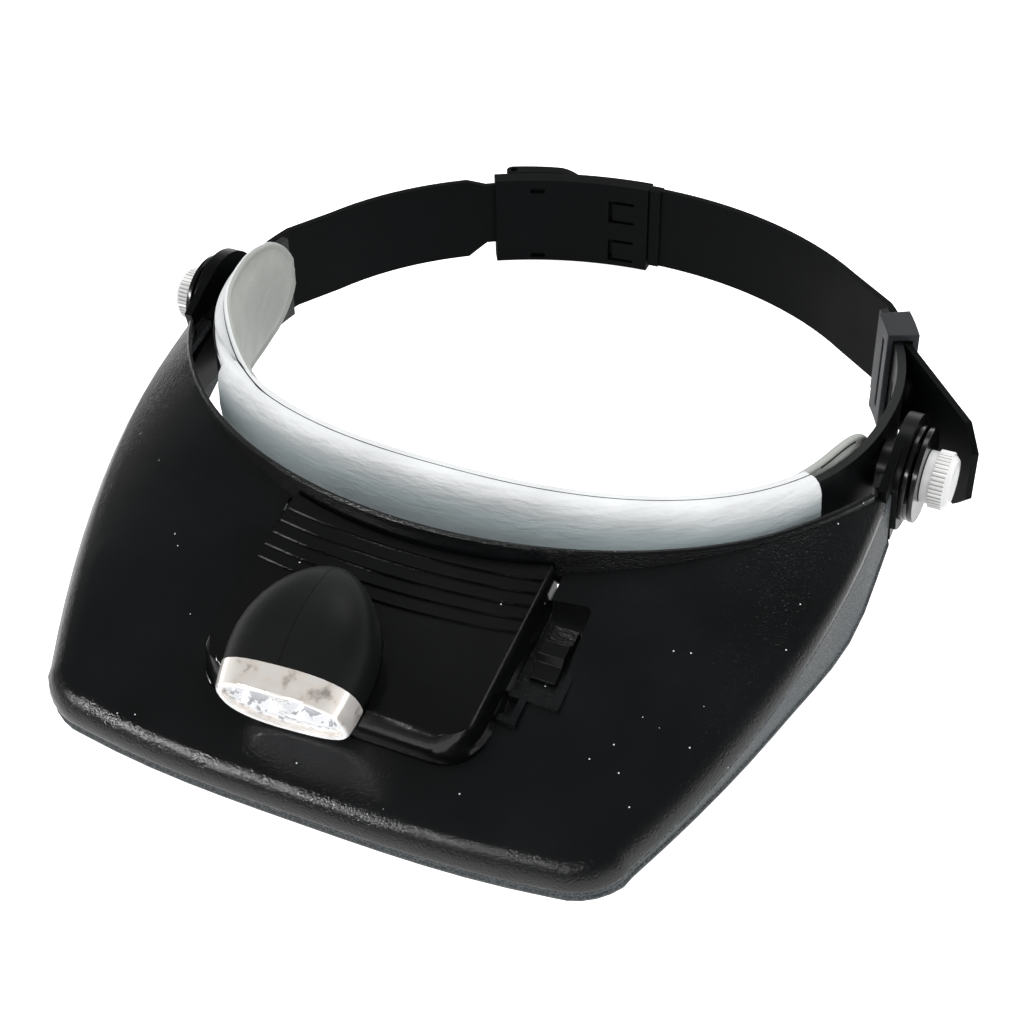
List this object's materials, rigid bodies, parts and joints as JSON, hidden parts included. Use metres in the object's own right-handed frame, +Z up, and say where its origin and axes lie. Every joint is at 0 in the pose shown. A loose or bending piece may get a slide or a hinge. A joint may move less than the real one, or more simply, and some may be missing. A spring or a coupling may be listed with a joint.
{
  "type": "lighted headband magnifier",
  "caption": "Padded headband with a buckled rear strap, a tilting eyeshade that holds a clear lens plate, and a battery lamp with a tilting head on its top.",
  "frame": {"origin": "centre of the head opening, at the strap's lower edge, halfway between the ear pivots", "axes": "+Z up as it stands on a table on its lens plate and buckle, -Y forward to the lamp, +X to the wearer's left; the strap's own plane is tipped by 13.6 degrees about X"},
  "size_m": [0.2223, 0.2298, 0.0709],
  "materials": {
    "black_plastic": "satin moulded",
    "slate_plastic": "matte moulded",
    "leatherette": "soft wrinkled leatherette",
    "granite_plastic": "coarse spark-eroded texture",
    "white_nylon": "translucent white",
    "steel": "zinc plated",
    "chrome": "bright",
    "brass": "turned",
    "clear_acrylic": "clear",
    "cell_jacket": "plain sleeve",
    "board": "solder mask",
    "diode": "clear to milky"
  },
  "bodies": {
    "headband": {"front_band": "black_plastic", "forehead_pad": "leatherette", "pad_flap": "leatherette", "strap_left": "slate_plastic", "strap_right": "slate_plastic", "strap_keeper": "slate_plastic", "strap_rivets": "steel", "buckle_housing": "slate_plastic", "lever_pin": "steel", "pivot_bolt_left": "steel", "pivot_bolt_right": "steel", "nylon_washers": "white_nylon"},
    "eyeshade": {"visor_shell": "black_plastic", "visor_skirt": "granite_plastic", "visor_ear_left": "black_plastic", "visor_ear_right": "black_plastic", "friction_discs_left": "black_plastic", "friction_discs_right": "black_plastic", "lens_frame": "black_plastic", "light_box": "black_plastic", "battery_tray": "black_plastic", "door_pin": "steel", "tray_screws": "steel", "battery_cells": "cell_jacket", "contact_springs": "steel", "contact_plates": "steel", "switch_body": "black_plastic", "lamp_bracket": "black_plastic", "lamp_pivot_pin": "steel"},
    "knob_on_left": {"knob_left": "white_nylon", "knob_insert_left": "brass"},
    "knob_on_right": {"knob_right": "white_nylon", "knob_insert_right": "brass"},
    "lens": {"lens_plate": "clear_acrylic"},
    "door": {"battery_door": "black_plastic"},
    "switch": {"switch_slider": "black_plastic"},
    "lamp": {"lamp_housing_left": "black_plastic", "lamp_housing_right": "black_plastic", "lamp_bezel": "chrome", "lamp_window": "clear_acrylic", "lamp_reflector": "chrome", "lamp_leds": "diode", "led_board": "board"},
    "lever": {"buckle_lever": "slate_plastic"}
  },
  "joints": [
    {"name": "eyeshade_tilt", "type": "hinge", "parent": "headband", "child": "eyeshade", "pos_m": [0, -0.00469, 0.01553], "axis": [-1, 0, 0], "range_deg": [-20, 75]},
    {"name": "knob_turn_left", "type": "hinge", "parent": "headband", "child": "knob_on_left", "pos_m": [-0.104, -0.00469, 0.01553], "axis": [-1, 0, 0], "continuous": true},
    {"name": "knob_turn_right", "type": "hinge", "parent": "headband", "child": "knob_on_right", "pos_m": [0.104, -0.00469, 0.01553], "axis": [1, 0, 0], "continuous": true},
    {"name": "lens_slide", "type": "slide", "parent": "eyeshade", "child": "lens", "axis": [0, 0.0211, -0.9998], "range_m": [0, 0.034]},
    {"name": "battery_door_swing", "type": "hinge", "parent": "eyeshade", "child": "door", "pos_m": [0, -0.11145, 0.01528], "axis": [-1, 0, 0], "range_deg": [0, 90]},
    {"name": "switch_slide", "type": "slide", "parent": "eyeshade", "child": "switch", "axis": [0, 0.9998, 0.0211], "range_m": [-0.003, 0.003]},
    {"name": "lamp_tilt", "type": "hinge", "parent": "eyeshade", "child": "lamp", "pos_m": [-0.0064, -0.10947, 0.04183], "axis": [-1, 0, 0], "range_deg": [0, 25]},
    {"name": "buckle_lever_swing", "type": "hinge", "parent": "headband", "child": "lever", "pos_m": [-0.04633, 0.07233, -0.01745], "axis": [0, 0.2345, 0.9721], "range_deg": [0, 60]}
  ]
}
